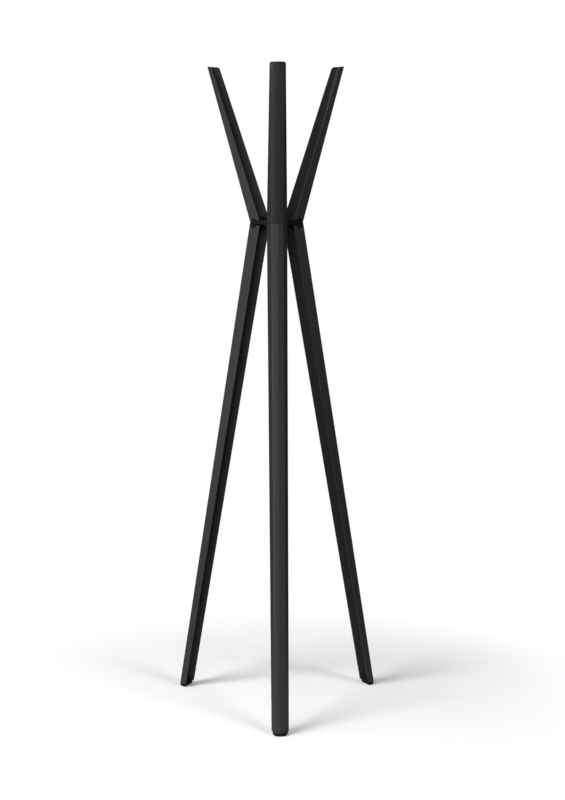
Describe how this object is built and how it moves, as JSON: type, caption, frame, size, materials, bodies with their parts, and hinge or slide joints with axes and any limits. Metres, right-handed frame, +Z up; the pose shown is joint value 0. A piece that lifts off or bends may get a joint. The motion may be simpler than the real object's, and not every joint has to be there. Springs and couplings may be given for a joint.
{
  "type": "standing coat rack",
  "caption": "Free-standing coat rack: leaning channel legs and arms joined around a central hub, with glide feet.",
  "frame": {"origin": "middle of the footprint's bounding box, on the floor", "axes": "+Z up; the front member points towards -Y, the other two towards +Y at 30 and 150 degrees from +X"},
  "size_m": [0.5566, 0.4869, 1.75],
  "materials": {
    "channel_coat": "fine-textured anthracite powder coat, matt",
    "hub": "cast, black powder coat, satin",
    "block": "moulded black nylon",
    "glide": "moulded black polyethylene, satin",
    "screw": "black oxide",
    "washer": "black oxide"
  },
  "bodies": {
    "root": {"hub": "hub", "front_arm": "channel_coat", "right_arm": "channel_coat", "left_arm": "channel_coat", "front_leg": "channel_coat", "right_leg": "channel_coat", "left_leg": "channel_coat", "front_arm_block": "block", "right_arm_block": "block", "left_arm_block": "block", "front_leg_block": "block", "right_leg_block": "block", "left_leg_block": "block", "front_joint_screw": "screw", "right_joint_screw": "screw", "left_joint_screw": "screw", "front_washer": "washer", "right_washer": "washer", "left_washer": "washer", "front_glide": "glide", "right_glide": "glide", "left_glide": "glide"}
  },
  "joints": []
}
